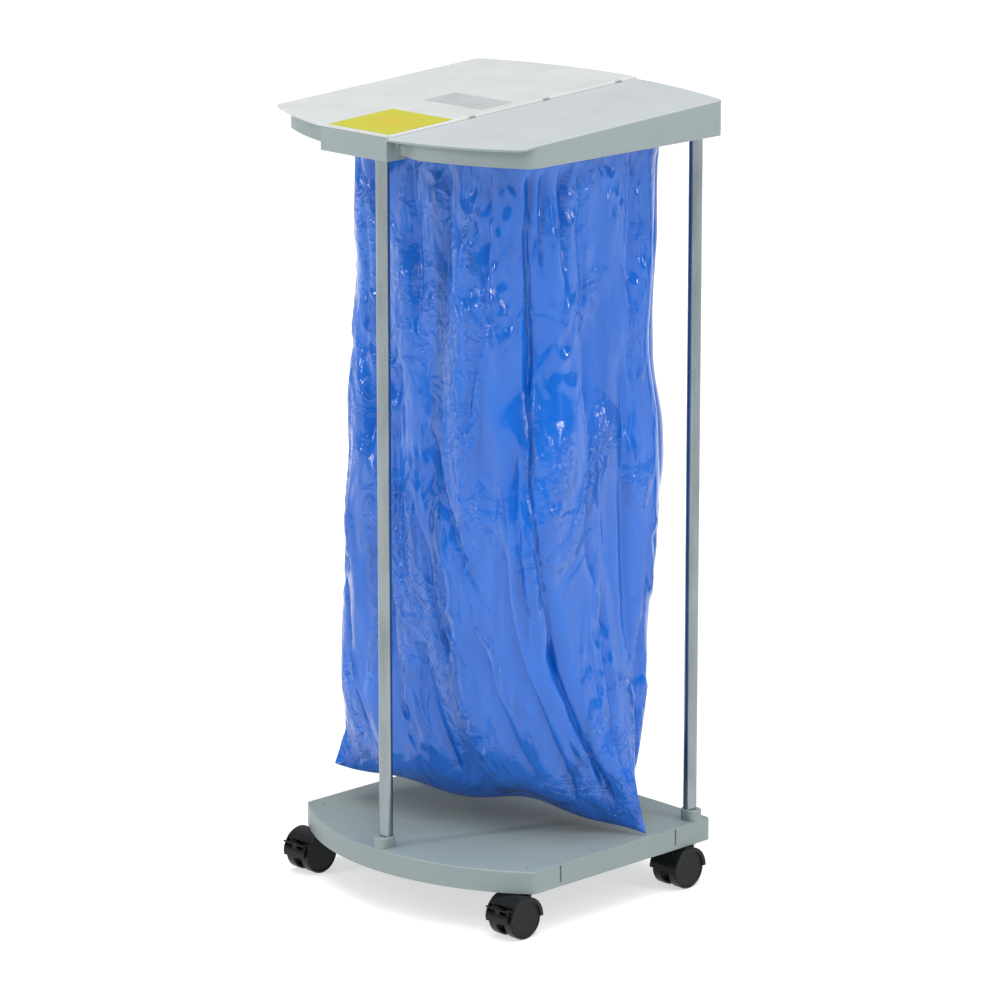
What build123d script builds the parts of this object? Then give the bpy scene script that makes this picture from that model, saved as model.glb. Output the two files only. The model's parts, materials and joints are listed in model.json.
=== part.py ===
from build123d import *
import os
from math import cos, radians, sin

# Mobile refuse-bag holder: a castor base, three tubes and a hinged-lid top that hangs a bag.
# Millimetres, +Z up, origin on the floor at the centre of the plan; -Y is the bowed front,
# and the lid hinges along Y and is lifted by its -X edge.

# ---- driving dimensions ----
# base tray
BASE_HALF_X = 192.0
BASE_SIDE_Y = (-124.5, 172.5)      # where the straight sides start and end
BASE_APEX_Y = (-192.5, 178.5)      # middle of the front and rear arcs
BASE_CORNERS = (5.0, 5.0, 7.0)
BASE_BOTTOM = 51.5
BASE_TOP = 78.0
BASE_PLATE_T = 4.0
BASE_EDGE_R = 1.8
WALL = 3.0
LINK_SLOT_Y = (-81.5, 111.5)       # slots in the straight sides that couple two holders
LINK_SLOT = (8.0, 2.6, 20.0)
RIB_X = 62.0
RIB_Y = 60.0
RIB_T = 2.2
RIB_FOOT = 60.0

# tubes
TUBE_R = 8.0
TUBE_WALL = 1.2
FRONT_TUBE = (0.0, -176.5)
REAR_TUBE_X = 177.0
REAR_TUBE_Y = 151.5
TUBE_XY = (FRONT_TUBE, (-REAR_TUBE_X, REAR_TUBE_Y), (REAR_TUBE_X, REAR_TUBE_Y))
SOCKET_R = TUBE_R + 0.05           # bores that take a tube
BOSS_R = 11.9
COLLAR_R = 10.3
COLLAR_H = 13.0
REAR_TUBE_FOOT = 55.0
FRONT_TUBE_FOOT = 61.0
REAR_BOSS_FOOT = 53.5
FRONT_BOSS_FOOT = 58.0
SCREW_R = 2.5
SCREW_HOLE_R = 3.3
WASHER_T = 1.0

# top frame and lid, on a deck plane that rises to the rear
SLOPE = 3.0
DECK_Z = 932.0                     # height of the fixed deck's top at Y = 0
DECK_HALF_X = 201.0
DECK_SIDE_Y = (-154.5, 171.5)
DECK_APEX_Y = (-205.0, 203.2)
DECK_T = 3.0
DECK_EDGE_R = 1.0
SKIRT_BOTTOM = 900.0
SKIRT_SIDE_Y = (-137.0, 171.5)
SKIRT_APEX_Y = (-196.5, 203.1)
SKIRT_CORNERS = (40.0, 18.0, 12.0)
SHELF_BOTTOM = 911.0               # level plate inside the skirt, which carries the bag collar
SHELF_T = 3.0
BLOCK_X = (-81.0, 28.0)            # front block that takes the front tube
BLOCK_Y = (-196.5, -166.0)
BLOCK_BOTTOM = 893.5
RECESS_Y = (-181.0, -192.0)        # recess in the skirt beside the block: floor, and where it opens
RECESS_W = (14.0, 46.0)            # its width at both
RECESS_R = 5.0
FRONT_TUBE_HEAD = 911.0            # top ends of the tubes
REAR_TUBE_HEAD = 924.0
ROOF_T = 3.0                       # above each tube's top end
SEAM_X = 34.6                      # left edge of the fixed deck
SEAM_WALL = ((-188.0, 198.0), (-9.0, -1.0))   # along and above the deck: wall under that edge
GUTTER = ((-165.0, 196.0), (-9.0, -7.0))      # and the gutter beside it, under the hinge
GUTTER_X = 26.0
BLANK = 60.0                       # blanks and cuts that run past the deck on purpose

# lid flap
FLAP_T = 3.2
DECK_CORNERS = (15.0, 15.0, 12.0)
FLAP_CORNERS = (6.0, 15.0, 12.0)
RIM_GAP = 0.3                      # between the flap and the rim it closes on
FLAP_UNDER = -0.6                  # underside of the flap above the deck plane
HINGE_X = 31.0
HINGE_W = -0.4                     # hinge axis above the deck plane
BARREL_R = 3.0
GROOVE_GAP = 0.5                   # round the barrel, in the frame
BARREL_V = (-164.5, 194.0)         # full barrel; past it only its upper half runs on
ROD_R = 1.2
ROD_V = (-162.0, 188.0)
LUG_V = (-68.0, 52.0, 172.0)
LUG_W = 10.0
LUG_R = 2.2
LUG_GAP = 0.25
LUG_STEM = 1.5                     # half thickness of a lug below the rod
LUG_END_GAP = 0.4                  # at each end of a lug, along the hinge
LUG_COVER_X = 1.3                  # the flap covers a lug from above, up to here from the axis
RUN = 0.05                         # running clearance of every pin
COLOUR_PLATE = ((-70.5, 30.0), (-194.5, -94.0), 1.2)   # X, place along the deck, thickness
LABEL_PLATE = ((-76.0, 18.0), (-38.0, 12.0), 0.8)
PLATE_PROUD = 0.2
PLATE_GAP = 0.15

# bag collar, band and bag
MOUTH_HALF = (150.0, 133.0)
MOUTH_Y = 20.0
MOUTH_R = 58.0
COLLAR_WALL = 2.5
COLLAR_BOTTOM = 886.0
COLLAR_FLANGE = 12.0
FILM_T = 1.6
FILM_GAP = 0.3
BAG_TOP = 906.0
BAND_Z = (889.0, 897.0)
BAND_T = 2.5
COLLAR_SCREWS = [(side * x, MOUTH_Y + y) for side in (-1, 1)
                 for x, y in ((141.5, 0), (80, -124.5), (80, 124.5))]
# height, centre, half sizes, corner radius, turn in plan and lean of each section of the bag
BAG_SECTIONS = (
    (884.0, (0, 20), (151.9, 134.9), 59.9, 0, 0),
    (640.0, (2, 19), (155, 132), 62, 0, 0),
    (400.0, (3, 16), (162, 122), 62, 3, 1),
    (230.0, (6, 6), (170, 92), 50, 12, 4),
    (140.0, (9, -8), (178, 48), 34, 21, 6),
    (103.0, (10, -16), (186, 13), 10, 24.7, 6.8),
)

# castors
TRAIL = 20.0                       # axle behind the swivel axis
WHEEL_R = 24.0
WHEEL_X = (6.3, 19.5)
HUB_IN = 2.9
HOOD_GAP = 0.9
HOOD_T = 1.6
HOOD_HALF_X = 20.0
HOOD_LIP = 1.2
WEB_HALF = 2.5
AXLE_R = 3.0
AXLE_HALF = 14.0
NECK_R = 5.8
NECK_TOP = 50.4
STEM_R = 3.5
STEM_FLANGE = (8.5, 50.7, 51.9)    # radius, bottom, top
PLUG_R = 5.4                       # upper part of the stem, in its socket
PLUG_TOP = 71.0
GROOVE = (4.4, 61.0, 66.0)         # radius, bottom, top of the grip ring's groove
SOCKET_FOOT = 52.1
SLEEVE_R = 8.0
FRONT_STEM = (172.0, -117.0)
LEVER_PIVOT = (-14.0, 12.0)        # Y and Z of the brake pivot from the axle
LEVER_PIN_R = 1.5
LEVER_HALF = 3.4
EAR_T = 1.8
EAR_GAP = 0.4
BRAKE_BAR = (-9.9, 15.7)
BAR_HALF = 9.0
ARM_END_R = 0.7                    # thin ends of the lever's arms
PEDAL_HALF = 17.5
PEDAL_SIDE_T = 1.5
PEDAL_R = (27.2, 29.0)             # curved pedal, inside and outside
PEDAL_ARC = (176.0, 199.0)         # its ends seen along +X, from the +Y direction
TAB_AT = (-26.6, 13.6)             # middle of the tab above the pedal
TAB = (6.4, 2.0, -27.0)            # its length, thickness and tilt

TUBE_HEADS = (FRONT_TUBE_HEAD, REAR_TUBE_HEAD, REAR_TUBE_HEAD)

STEMS = {
    "front_left": (-FRONT_STEM[0], FRONT_STEM[1]),
    "front_right": FRONT_STEM,
    "rear_left": (-REAR_TUBE_X, REAR_TUBE_Y),
    "rear_right": (REAR_TUBE_X, REAR_TUBE_Y),
}

DECK = Plane(origin=(0, 0, DECK_Z), x_dir=(1, 0, 0),
             z_dir=(0, -sin(radians(SLOPE)), cos(radians(SLOPE))))


def level(z):
    """A level plane at height z."""
    return Plane.XY.offset(z)


def hinge_section(v, w=HINGE_W):
    """Plane across the hinge axis: local X is X, local Y the deck's normal, and it faces -v."""
    return Plane(origin=DECK.from_local_coords((HINGE_X, v, w)), x_dir=(1, 0, 0), z_dir=-DECK.y_dir)


def bowed_outline(half_x, side_y, apex_y, inset):
    """Edges of a plan with straight sides and bowed ends."""
    x = half_x - inset
    front, rear = side_y[0] + inset, side_y[1] - inset
    with BuildLine() as outline:
        ThreePointArc((-x, front), (0, apex_y[0] + inset), (x, front))
        Line((x, front), (x, rear))
        ThreePointArc((x, rear), (0, apex_y[1] - inset), (-x, rear))
        Line((-x, rear), (-x, front))
    return outline.edges()


def plan_face(plane, half_x, side_y, apex_y, corners, inset=0.0, x_range=None, without=None):
    """Bowed plan on a plane; corners are the front left, front right and rear radii, x_range keeps
    only the stretch between two X values, and without is an X and Y range to leave out."""
    with BuildSketch(plane) as plan:
        make_face(bowed_outline(half_x, side_y, apex_y, inset))
        front_left, front_right, rear = corners
        for side, end, radius in ((-1, -1, front_left), (1, -1, front_right), (-1, 1, rear), (1, 1, rear)):
            corner = plan.vertices().sort_by(lambda v: side * v.X + end * v.Y)[-1]
            fillet(corner, radius - inset)
        if x_range:
            with Locations(((x_range[0] + x_range[1]) / 2, 0)):
                Rectangle(x_range[1] - x_range[0], 4 * half_x, mode=Mode.INTERSECT)
        if without:
            (x_low, x_high), (y_low, y_high) = without
            with Locations(((x_low + x_high) / 2, (y_low + y_high) / 2)):
                Rectangle(x_high - x_low, y_high - y_low, mode=Mode.SUBTRACT)
    return plan.sketch


def base_face(z, inset=0.0):
    """Plan of the base tray."""
    return plan_face(level(z), BASE_HALF_X, BASE_SIDE_Y, BASE_APEX_Y, BASE_CORNERS, inset)


def skirt_face(z, inset=0.0, without=None):
    """Plan of the top frame's skirt, with a large corner under the lid's lifting tip."""
    return plan_face(level(z), DECK_HALF_X, SKIRT_SIDE_Y, SKIRT_APEX_Y, SKIRT_CORNERS, inset, None, without)


def deck_face(w, corners, x_range):
    """Plan of the deck or of the lid flap, at height w above the deck plane."""
    return plan_face(DECK.offset(w), DECK_HALF_X, DECK_SIDE_Y, DECK_APEX_Y, corners, 0.0, x_range)


def mouth_face(z, grow):
    """Rounded rectangle of the bag mouth, grown on all sides."""
    with BuildSketch(level(z)) as plan:
        with Locations((0, MOUTH_Y)):
            RectangleRounded(2 * (MOUTH_HALF[0] + grow), 2 * (MOUTH_HALF[1] + grow), MOUTH_R + grow)
    return plan.sketch


def rod(x, y, r, z_low, z_high, mode=Mode.ADD):
    """Upright round piece of the part being built."""
    with Locations((x, y, z_low)):
        Cylinder(r, z_high - z_low, align=(Align.CENTER, Align.CENTER, Align.MIN), mode=mode)


def block(x_range, y_range, z_range, mode=Mode.ADD):
    """Box between two X, Y and Z values, in the part being built."""
    middle = tuple((low + high) / 2 for low, high in (x_range, y_range, z_range))
    with Locations(middle):
        Box(x_range[1] - x_range[0], y_range[1] - y_range[0], z_range[1] - z_range[0], mode=mode)


def finish(builder, name):
    """Label a finished piece and write it."""
    builder.part.label = name
    export_step(builder.part, f"parts/{name}.step")


os.makedirs("parts", exist_ok=True)


# ---- base tray ----
def make_base_tray():
    """Hollow moulding: plate, wall, ribs, tube collars, castor and tube bosses, linking slots."""
    plate_under = BASE_TOP - BASE_PLATE_T
    collar_top = BASE_TOP + COLLAR_H
    with BuildPart() as tray:
        extrude(base_face(BASE_BOTTOM), amount=BASE_TOP - BASE_BOTTOM)
        fillet(tray.faces().sort_by(Axis.Z)[-1].edges(), BASE_EDGE_R)
        extrude(base_face(BASE_BOTTOM, WALL), amount=plate_under - BASE_BOTTOM, mode=Mode.SUBTRACT)
        # stiffening ribs under the plate
        for x in (-RIB_X, RIB_X):
            block((x - RIB_T / 2, x + RIB_T / 2), (-184, 176), (RIB_FOOT, plate_under))
        for y in (-RIB_Y, RIB_Y):
            block((-190, 190), (y - RIB_T / 2, y + RIB_T / 2), (RIB_FOOT, plate_under))
        # bosses under the plate
        rod(*FRONT_TUBE, BOSS_R, FRONT_BOSS_FOOT, plate_under)
        for x, y in TUBE_XY[1:]:
            rod(x, y, BOSS_R, REAR_BOSS_FOOT, plate_under)
        for side in (-1, 1):
            rod(side * FRONT_STEM[0], FRONT_STEM[1], SLEEVE_R + 3, REAR_BOSS_FOOT, plate_under)
        # collars on top, running out flush with the nearest edge
        with BuildSketch(level(BASE_TOP - BASE_PLATE_T / 2)) as collars:
            for x, y in TUBE_XY:
                with Locations((x, y)):
                    Circle(COLLAR_R)
            front_end, side_end = BASE_APEX_Y[0] + COLLAR_R, BASE_HALF_X - COLLAR_R
            with Locations((0, front_end), (-side_end, REAR_TUBE_Y), (side_end, REAR_TUBE_Y)):
                Circle(COLLAR_R)
            with Locations((0, (FRONT_TUBE[1] + front_end) / 2)):
                Rectangle(2 * COLLAR_R, FRONT_TUBE[1] - front_end)
            for side in (-1, 1):
                with Locations((side * (REAR_TUBE_X + side_end) / 2, REAR_TUBE_Y)):
                    Rectangle(side_end - REAR_TUBE_X, 2 * COLLAR_R)
            make_face(bowed_outline(BASE_HALF_X, BASE_SIDE_Y, BASE_APEX_Y, 0), mode=Mode.INTERSECT)
        extrude(amount=COLLAR_H + BASE_PLATE_T / 2)
        fillet(tray.faces().filter_by_position(Axis.Z, collar_top - 0.1, collar_top + 0.1).edges(), 1.2)
        # bores for the tubes, the castor sockets and the screw
        rod(*FRONT_TUBE, SOCKET_R, FRONT_TUBE_FOOT, 100, Mode.SUBTRACT)
        rod(*FRONT_TUBE, SCREW_HOLE_R, 50, 100, Mode.SUBTRACT)
        for x, y in TUBE_XY[1:]:
            rod(x, y, SOCKET_R, 50, 100, Mode.SUBTRACT)
        for side in (-1, 1):
            rod(side * FRONT_STEM[0], FRONT_STEM[1], SLEEVE_R + 0.1, 50, 73.3, Mode.SUBTRACT)
            rod(side * FRONT_STEM[0], FRONT_STEM[1], 1.5, 50, 100, Mode.SUBTRACT)
        # linking slots through the straight sides
        for y in LINK_SLOT_Y:
            for side in (-1, 1):
                with Locations((side * BASE_HALF_X, y, BASE_BOTTOM + 5 + LINK_SLOT[2] / 2)):
                    Box(*LINK_SLOT, mode=Mode.SUBTRACT)
    finish(tray, "base_tray")


# ---- tubes, their inserts and screws ----
def make_tube(name, x, y, foot, head):
    """One chromed tube."""
    with BuildPart() as tube:
        rod(x, y, TUBE_R, foot, head)
        rod(x, y, TUBE_R - TUBE_WALL, foot - 1, head + 1, Mode.SUBTRACT)
    finish(tube, name)


def make_tube_inserts():
    """Plastic plugs in the tube ends: screw plugs, and castor sockets in the rear feet."""
    plug_r = TUBE_R - TUBE_WALL - 0.05
    with BuildPart() as foot:
        rod(*FRONT_TUBE, plug_r, FRONT_TUBE_FOOT + 0.1, FRONT_TUBE_FOOT + 30)
        rod(*FRONT_TUBE, SCREW_R + 0.05, FRONT_TUBE_FOOT, FRONT_TUBE_FOOT + 40, Mode.SUBTRACT)
    finish(foot, "front_tube_plug")
    with BuildPart() as heads:
        for (x, y), head in zip(TUBE_XY, TUBE_HEADS):
            rod(x, y, plug_r, head - 30, head - 0.1)
            rod(x, y, SCREW_R + 0.05, head - 40, head, Mode.SUBTRACT)
    finish(heads, "tube_head_plugs")
    with BuildPart() as sockets:
        for x, y in TUBE_XY[1:]:
            rod(x, y, 10.0, SOCKET_FOOT, REAR_BOSS_FOOT - 0.1)
            rod(x, y, plug_r, SOCKET_FOOT, 79)
            rod(x, y, PLUG_R + RUN, 50, 76, Mode.SUBTRACT)
    finish(sockets, "rear_castor_sockets")
    with BuildPart() as sleeves:
        for side in (-1, 1):
            x, y = side * FRONT_STEM[0], FRONT_STEM[1]
            rod(x, y, 10.0, SOCKET_FOOT, REAR_BOSS_FOOT - 0.1)
            rod(x, y, SLEEVE_R, SOCKET_FOOT, 73)
            rod(x, y, PLUG_R + RUN, 50, 74, Mode.SUBTRACT)
    finish(sleeves, "front_castor_sockets")


def screw(x, y, seat, up, length, head_r, head_h):
    """Pan-head screw with a hexagon socket, its head seated at a height, its shank up or down."""
    tip = seat + up * length
    outer = seat - up * head_h
    rod(x, y, SCREW_R, min(seat, tip), max(seat, tip))
    rod(x, y, head_r, min(seat, outer), max(seat, outer))
    with BuildSketch(level(outer)) as drive:
        with Locations((x, y)):
            RegularPolygon(head_r * 0.5, 6)
    extrude(drive.sketch, amount=up * head_h * 0.6, mode=Mode.SUBTRACT)


def make_tube_screws():
    """Screws that hold the tubes: one under the base, three under the lid."""
    with BuildPart() as foot_screw:
        screw(*FRONT_TUBE, FRONT_BOSS_FOOT - WASHER_T, 1, 28, 5.0, 3.4)
    finish(foot_screw, "front_tube_screw")
    with BuildPart() as washer:
        rod(*FRONT_TUBE, 8.0, FRONT_BOSS_FOOT - WASHER_T, FRONT_BOSS_FOOT)
        rod(*FRONT_TUBE, SCREW_R + 0.2, 50, 70, Mode.SUBTRACT)
    finish(washer, "front_tube_washer")
    with BuildPart() as head_screws:
        for (x, y), head in zip(TUBE_XY, TUBE_HEADS):
            screw(x, y, head + ROOF_T, -1, 28, 4.5, 2.6)
    finish(head_screws, "tube_head_screws")


# ---- top frame ----
def hinge_round(radius, v_rear, v_front, mode=Mode.ADD, above=None):
    """Round bar on the hinge axis between two places along it, or only its part above a height."""
    with BuildSketch(hinge_section(v_rear)) as section:
        Circle(radius)
        if above is not None:
            with Locations((0, above - HINGE_W - 10)):
                Rectangle(40, 20, mode=Mode.SUBTRACT)
    extrude(section.sketch, amount=v_rear - v_front, mode=mode)


def hinge_box(x_range, v_range, w_range, mode=Mode.ADD):
    """Box along the hinge, given by X, place along the deck and height above it."""
    with BuildSketch(hinge_section(v_range[1], 0)) as section:
        with Locations(((x_range[0] + x_range[1]) / 2 - HINGE_X, (w_range[0] + w_range[1]) / 2)):
            Rectangle(x_range[1] - x_range[0], w_range[1] - w_range[0])
    extrude(section.sketch, amount=v_range[1] - v_range[0], mode=mode)


def rounded_plate(outline, thickness, seam_x, front):
    """Plate on the sloping deck, cut straight at the front, with its top edge rounded except
    along the seam."""
    with BuildPart() as plate:
        extrude(outline, amount=thickness)
        block((-300, 300), (front - 100, front), (SKIRT_BOTTOM, 1000), Mode.SUBTRACT)
        top_edges = plate.faces().filter_by(lambda f: f.normal_at().Z > 0.9)[0].edges()
        fillet(top_edges.filter_by(lambda e: abs(e.center().X - seam_x) > 1), DECK_EDGE_R)
    return plate.part


def fixed_deck():
    """The right-hand part of the top, which doesn't open."""
    return rounded_plate(deck_face(-DECK_T, DECK_CORNERS, (SEAM_X, 2 * DECK_HALF_X)), DECK_T, SEAM_X, -250)


def recess_face(grow):
    """Plan of the recess beside the front block, grown by a wall thickness."""
    left, ahead = BLOCK_X[1] - grow, BLOCK_Y[0] - BLANK
    floor, mouth = (y + grow for y in RECESS_Y)
    floor_right, mouth_right = (BLOCK_X[1] + width for width in RECESS_W)
    with BuildSketch(level(SKIRT_BOTTOM)) as notch:
        with BuildLine():
            Polyline((left, ahead), (left, floor), (floor_right, floor), (mouth_right, mouth),
                     (mouth_right, ahead), close=True)
        make_face()
        fillet(notch.vertices().sort_by_distance((left, floor))[0], RECESS_R)
    return notch.sketch


def recess_wall():
    """Skirt wall round the recess, as deep as the skirt."""
    with BuildPart() as wall:
        extrude(skirt_face(SKIRT_BOTTOM), amount=BLANK)
        extrude(recess_face(WALL), amount=BLANK, mode=Mode.INTERSECT)
    return wall.part


def make_top_frame():
    """One moulding: skirt, level shelf, fixed deck on the right, front block, tube and hinge seats."""
    shelf_top = SHELF_BOTTOM + SHELF_T
    rim = DECK.offset(FLAP_UNDER - RIM_GAP)
    with BuildPart() as frame:
        # skirt and front block, cut off along the rim under the lid
        extrude(skirt_face(SKIRT_BOTTOM), amount=BLANK)
        block(BLOCK_X, BLOCK_Y, (BLOCK_BOTTOM, SKIRT_BOTTOM + BLANK))
        split(bisect_by=rim, keep=Keep.BOTTOM)
        # hollow below and above the shelf, in the skirt and in the block
        for z_low, z_high in ((BLOCK_BOTTOM - 1, SHELF_BOTTOM), (shelf_top, SKIRT_BOTTOM + BLANK)):
            extrude(skirt_face(z_low, WALL, (BLOCK_X, BLOCK_Y)), amount=z_high - z_low, mode=Mode.SUBTRACT)
            block((BLOCK_X[0] + WALL, BLOCK_X[1] - WALL), (BLOCK_Y[0] + WALL, BLOCK_Y[1] - WALL),
                  (z_low, z_high), Mode.SUBTRACT)
        # recess in the skirt beside the block
        add(recess_wall())
        extrude(recess_face(0), amount=BLANK, mode=Mode.SUBTRACT)
        split(bisect_by=rim, keep=Keep.BOTTOM)
        # fixed deck, overhanging the skirt at the front
        hinge_box((SEAM_X, 2 * DECK_HALF_X), (-300, 300), (-DECK_T / 2, BLANK), Mode.SUBTRACT)
        add(fixed_deck())
        # round groove that the lid's hinge edge turns in, then a wall and a gutter under it
        hinge_round(BARREL_R + GROOVE_GAP, DECK_APEX_Y[1] + 5, DECK_APEX_Y[0] - 5, Mode.SUBTRACT)
        hinge_box((SEAM_X, SEAM_X + WALL), *SEAM_WALL)
        hinge_box((GUTTER_X, SEAM_X + 1), *GUTTER)
        # snap lugs that hold the hinge rod
        for v in LUG_V:
            hinge_round(LUG_R, v + LUG_W / 2, v - LUG_W / 2)
            hinge_box((HINGE_X - LUG_STEM, HINGE_X + LUG_STEM), (v - LUG_W / 2, v + LUG_W / 2),
                      (GUTTER[1][1] - 1, HINGE_W))
            hinge_round(ROD_R + RUN, v + LUG_W, v - LUG_W, Mode.SUBTRACT)
            hinge_box((HINGE_X - 0.8 * ROD_R, HINGE_X + 0.8 * ROD_R), (v - LUG_W, v + LUG_W),
                      (HINGE_W, 5), Mode.SUBTRACT)
        # tube sockets: boss, bore from below, screw hole through the roof
        for (x, y), head, foot in zip(TUBE_XY, TUBE_HEADS, (BLOCK_BOTTOM, SKIRT_BOTTOM, SKIRT_BOTTOM)):
            rod(x, y, BOSS_R, foot, head + ROOF_T)
        for (x, y), head in zip(TUBE_XY, TUBE_HEADS):
            rod(x, y, SOCKET_R, BLOCK_BOTTOM - 1, head, Mode.SUBTRACT)
            rod(x, y, SCREW_R + 0.3, BLOCK_BOTTOM - 1, head + ROOF_T + 1, Mode.SUBTRACT)
        # opening over the bag, and bosses for the collar screws
        for x, y in COLLAR_SCREWS:
            rod(x, y, 4.0, shelf_top - 1, shelf_top + 4)
        extrude(mouth_face(SHELF_BOTTOM - 1, -COLLAR_WALL - COLLAR_FLANGE), amount=SHELF_T + 2,
                mode=Mode.SUBTRACT)
        for x, y in COLLAR_SCREWS:
            rod(x, y, 2.05, 905, 920, Mode.SUBTRACT)
    finish(frame, "top_frame")


# ---- bag collar, band and bag ----
def make_bag_collar():
    """Ring screwed under the shelf, over which the bag's mouth is drawn, and its screws."""
    flange_low = SHELF_BOTTOM - COLLAR_WALL
    with BuildPart() as collar:
        extrude(mouth_face(COLLAR_BOTTOM, 0), amount=SHELF_BOTTOM - COLLAR_BOTTOM)
        extrude(mouth_face(COLLAR_BOTTOM - 1, -COLLAR_WALL), amount=flange_low - COLLAR_BOTTOM + 1,
                mode=Mode.SUBTRACT)
        extrude(mouth_face(COLLAR_BOTTOM, -COLLAR_WALL - COLLAR_FLANGE), amount=80, mode=Mode.SUBTRACT)
        for x, y in COLLAR_SCREWS:
            rod(x, y, 2.3, 880, 920, Mode.SUBTRACT)
    finish(collar, "bag_collar")
    with BuildPart() as screws:
        for x, y in COLLAR_SCREWS:
            rod(x, y, 2.0, flange_low, flange_low + 9)
            rod(x, y, 3.8, flange_low - 2.2, flange_low)
            with BuildSketch(level(flange_low - 2.2)) as drive:
                with Locations((x, y)):
                    RegularPolygon(2.0, 6)
            extrude(drive.sketch, amount=1.4, mode=Mode.SUBTRACT)
    finish(screws, "collar_screws")
    film_out = FILM_GAP + FILM_T
    with BuildPart() as band:
        extrude(mouth_face(BAND_Z[0], film_out + FILM_GAP + BAND_T), amount=BAND_Z[1] - BAND_Z[0])
        extrude(mouth_face(BAND_Z[0], film_out + FILM_GAP), amount=BAND_Z[1] - BAND_Z[0],
                mode=Mode.SUBTRACT)
        fillet(band.edges().group_by(Axis.Z)[0] + band.edges().group_by(Axis.Z)[-1], 0.8)
    finish(band, "bag_band")


def bag_section(section, inset):
    """Rounded rectangle across the hanging bag, turned in plan and leaning with the bottom seam."""
    z, (cx, cy), (half_long, half_short), corner, turn, lean = section
    along = (cos(radians(turn)), sin(radians(turn)), -sin(radians(lean)))
    across = (-sin(radians(turn)), cos(radians(turn)), 0)
    normal = Vector(*along).cross(Vector(*across))
    with BuildSketch(Plane(origin=(cx, cy, z), x_dir=along, z_dir=normal)) as cut:
        RectangleRounded(2 * (half_long - inset), 2 * (half_short - inset), corner - inset)
    return cut.sketch


def make_refuse_bag():
    """Film bag as a thin shell: straight round the collar, then drawn together to its bottom seam."""
    with BuildPart() as bag:
        outer = [bag_section(s, 0) for s in BAG_SECTIONS]
        loft(outer, ruled=True)
        extrude(mouth_face(BAG_SECTIONS[0][0], FILM_GAP + FILM_T), amount=BAG_TOP - BAG_SECTIONS[0][0])
        inner = [bag_section(s, FILM_T) for s in BAG_SECTIONS[:-1]]
        loft(inner, ruled=True, mode=Mode.SUBTRACT)
        extrude(mouth_face(BAG_SECTIONS[0][0], FILM_GAP), amount=BAG_TOP, mode=Mode.SUBTRACT)
    finish(bag, "refuse_bag")


# ---- lid ----
def make_lid():
    """Flap with its hinge barrel and ribs, the hinge rod, and the two plates on top."""
    flap_top = FLAP_UNDER + FLAP_T
    with BuildPart() as flap:
        outline = deck_face(FLAP_UNDER, FLAP_CORNERS, (-2 * DECK_HALF_X, HINGE_X))
        add(rounded_plate(outline, FLAP_T, HINGE_X, BLOCK_Y[0]))
        # rounded hinge edge, a full barrel between the front block and the rear rim
        hinge_round(BARREL_R, DECK_APEX_Y[1] - 1.2, BLOCK_Y[0], above=FLAP_UNDER)
        hinge_round(BARREL_R, BARREL_V[1], BARREL_V[0])
        # ribs round the opening
        for inset, mode in ((0, Mode.ADD), (RIB_T, Mode.SUBTRACT)):
            hinge_box((-186 + inset, 20 - inset), (-140 + inset, 160 - inset),
                      (FLAP_UNDER - 4, FLAP_UNDER), mode)
        # rod bore and gaps for the lugs
        hinge_round(ROD_R + RUN, ROD_V[1] + 0.5, ROD_V[0] - 0.5, Mode.SUBTRACT)
        for v in LUG_V:
            v_range = (v - LUG_W / 2 - LUG_END_GAP, v + LUG_W / 2 + LUG_END_GAP)
            hinge_round(LUG_R + LUG_GAP, v_range[1], v_range[0], Mode.SUBTRACT)
            hinge_box((HINGE_X - BARREL_R - 0.5, HINGE_X + BARREL_R + 1), v_range,
                      (-5, HINGE_W), Mode.SUBTRACT)
            hinge_box((HINGE_X + LUG_COVER_X, HINGE_X + BARREL_R + 1), v_range, (HINGE_W, 5), Mode.SUBTRACT)
        # shallow seats for the plates
        for (x_range, v_range, thick) in (COLOUR_PLATE, LABEL_PLATE):
            gap = PLATE_GAP
            hinge_box((x_range[0] - gap, x_range[1] + gap), (v_range[0] - gap, v_range[1] + gap),
                      (flap_top - thick + PLATE_PROUD, flap_top + 2), Mode.SUBTRACT)
    finish(flap, "lid_flap")
    with BuildPart() as hinge_rod:
        hinge_round(ROD_R, ROD_V[1], ROD_V[0])
    finish(hinge_rod, "lid_hinge_rod")
    for name, (x_range, v_range, thick) in (("colour_plate", COLOUR_PLATE), ("label_plate", LABEL_PLATE)):
        with BuildPart() as plate:
            hinge_box(x_range, v_range, (flap_top + PLATE_PROUD - thick, flap_top + PLATE_PROUD))
        finish(plate, name)


# ---- castors ----
def castor_side(x, y, offset=0.0):
    """Plane across a castor's axle: local X is Y and local Y is Z, from the axle's centre."""
    return Plane(origin=(x + offset, y - TRAIL, WHEEL_R), x_dir=(0, 1, 0), z_dir=(1, 0, 0))


def make_stem(name, x, y):
    """Steel stem, pushed into its socket and turning in the hood's neck."""
    flange_r, flange_low, flange_high = STEM_FLANGE
    groove_r, groove_low, groove_high = GROOVE
    with BuildPart() as stem:
        rod(x, y, STEM_R, 30.5, flange_high)
        rod(x, y, flange_r, flange_low, flange_high)
        rod(x, y, PLUG_R, flange_high, groove_low)
        rod(x, y, groove_r, groove_low, groove_high)
        rod(x, y, PLUG_R, groove_high, PLUG_TOP)
        chamfer(stem.faces().sort_by(Axis.Z)[-1].edges(), 1.2)
    finish(stem, f"castor_stem_{name}")


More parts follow.
